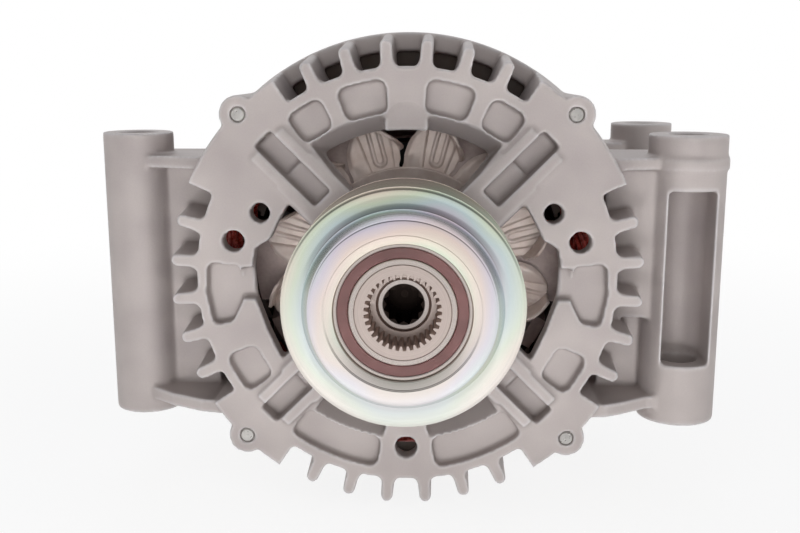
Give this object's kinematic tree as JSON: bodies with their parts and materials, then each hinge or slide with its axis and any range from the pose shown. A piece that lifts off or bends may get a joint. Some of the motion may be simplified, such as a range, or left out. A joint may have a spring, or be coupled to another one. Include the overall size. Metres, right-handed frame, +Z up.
{
  "type": "alternator",
  "caption": "Vehicle alternator with a grooved overrunning pulley, finned cast brackets, two vertical mounting tubes and a rear mounting boss.",
  "frame": {"origin": "on the shaft axis, at the front face of the drive end bracket", "axes": "+Y along the shaft from the pulley to the rear cover, +Z up along the mounting tubes, +X to the right seen from the pulley"},
  "size_m": [0.2112, 0.216, 0.158],
  "materials": {
    "cast_aluminium": "satin",
    "plate_aluminium": "satin",
    "lamination_steel": "matte",
    "winding": "gloss",
    "field_winding": "gloss",
    "copper": "polished",
    "zinc_steel": "satin",
    "stud_steel": "satin",
    "bearing_steel": "polished",
    "cage_brass": "satin",
    "pole_steel": "matte",
    "shaft_steel": "satin",
    "fan_steel": "polished",
    "pulley_zinc": "polished",
    "seal_rubber": "matte",
    "shield_rubber": "matte",
    "black_plastic": "matte",
    "sleeve_plastic": "matte",
    "diode_metal": "satin",
    "carbon": "matte",
    "spring_steel": "satin"
  },
  "bodies": {
    "root": {"drive_end_bracket": "cast_aluminium", "slip_ring_end_bracket": "cast_aluminium", "stator_core": "lamination_steel", "stator_winding": "winding", "through_bolts": "zinc_steel", "front_bearing_outer_ring": "bearing_steel", "front_bearing_shields": "shield_rubber", "bearing_retainer_plate": "zinc_steel", "retainer_screws": "zinc_steel", "rear_bearing_sleeve": "sleeve_plastic", "rear_bearing_outer_ring": "bearing_steel", "rectifier_negative_plate": "plate_aluminium", "rectifier_positive_plate": "plate_aluminium", "rectifier_diodes": "diode_metal", "rectifier_terminal_board": "black_plastic", "brush_holder": "black_plastic", "brush_holder_screws": "zinc_steel", "brush_spring_1": "spring_steel", "brush_spring_2": "spring_steel", "output_stud": "stud_steel", "stud_insulator": "black_plastic", "stud_nut": "zinc_steel", "rear_cover": "black_plastic", "cover_screws": "zinc_steel"},
    "rotor": {"rotor_shaft": "shaft_steel", "front_claw_pole": "pole_steel", "rear_claw_pole": "pole_steel", "field_coil": "field_winding", "coil_bobbin": "black_plastic", "front_fan": "fan_steel", "rear_fan": "fan_steel", "slip_ring_body": "black_plastic", "slip_rings": "copper", "front_bearing_inner_ring": "bearing_steel", "rear_bearing_inner_ring": "bearing_steel", "front_spacer": "shaft_steel", "pulley_hub": "shaft_steel", "pulley_inner_races": "bearing_steel"},
    "front_cage": {"front_bearing_balls": "bearing_steel", "front_bearing_cage": "cage_brass"},
    "rear_cage": {"rear_bearing_balls": "bearing_steel", "rear_bearing_cage": "cage_brass"},
    "pulley": {"pulley_ring": "pulley_zinc", "pulley_outer_races": "bearing_steel", "pulley_seals": "seal_rubber", "clutch_ramp_ring": "bearing_steel", "clutch_rollers": "bearing_steel"},
    "pulley_cage": {"pulley_balls": "bearing_steel"},
    "brush_1": {"brush_1": "carbon"},
    "brush_2": {"brush_2": "carbon"}
  },
  "joints": [
    {"name": "rotor_spin", "type": "hinge", "parent": "root", "child": "rotor", "pos_m": [0, 0, 0], "axis": [0, 1, 0], "continuous": true},
    {"name": "pulley_freewheel", "type": "hinge", "parent": "rotor", "child": "pulley", "pos_m": [0, 0, 0], "axis": [0, 1, 0], "continuous": true},
    {"name": "pulley_cage_spin", "type": "hinge", "parent": "rotor", "child": "pulley_cage", "pos_m": [0, 0, 0], "axis": [0, 1, 0], "continuous": true},
    {"name": "front_cage_spin", "type": "hinge", "parent": "root", "child": "front_cage", "pos_m": [0, 0, 0], "axis": [0, 1, 0], "continuous": true},
    {"name": "rear_cage_spin", "type": "hinge", "parent": "root", "child": "rear_cage", "pos_m": [0, 0, 0], "axis": [0, 1, 0], "continuous": true},
    {"name": "brush_1_slide", "type": "slide", "parent": "root", "child": "brush_1", "axis": [0, 0, 1], "range_m": [0, 0.008], "stiffness_N_per_m": 150, "springref_m": -0.012, "deforming": ["brush_spring_1"]},
    {"name": "brush_2_slide", "type": "slide", "parent": "root", "child": "brush_2", "axis": [0, 0, 1], "range_m": [0, 0.008], "stiffness_N_per_m": 150, "springref_m": -0.012, "deforming": ["brush_spring_2"]}
  ],
  "couplings": [
    {"joint": "front_cage_spin", "follows": "rotor_spin", "ratio": 0.3637},
    {"joint": "rear_cage_spin", "follows": "rotor_spin", "ratio": 0.38},
    {"joint": "pulley_cage_spin", "follows": "pulley_freewheel", "ratio": 0.562}
  ]
}
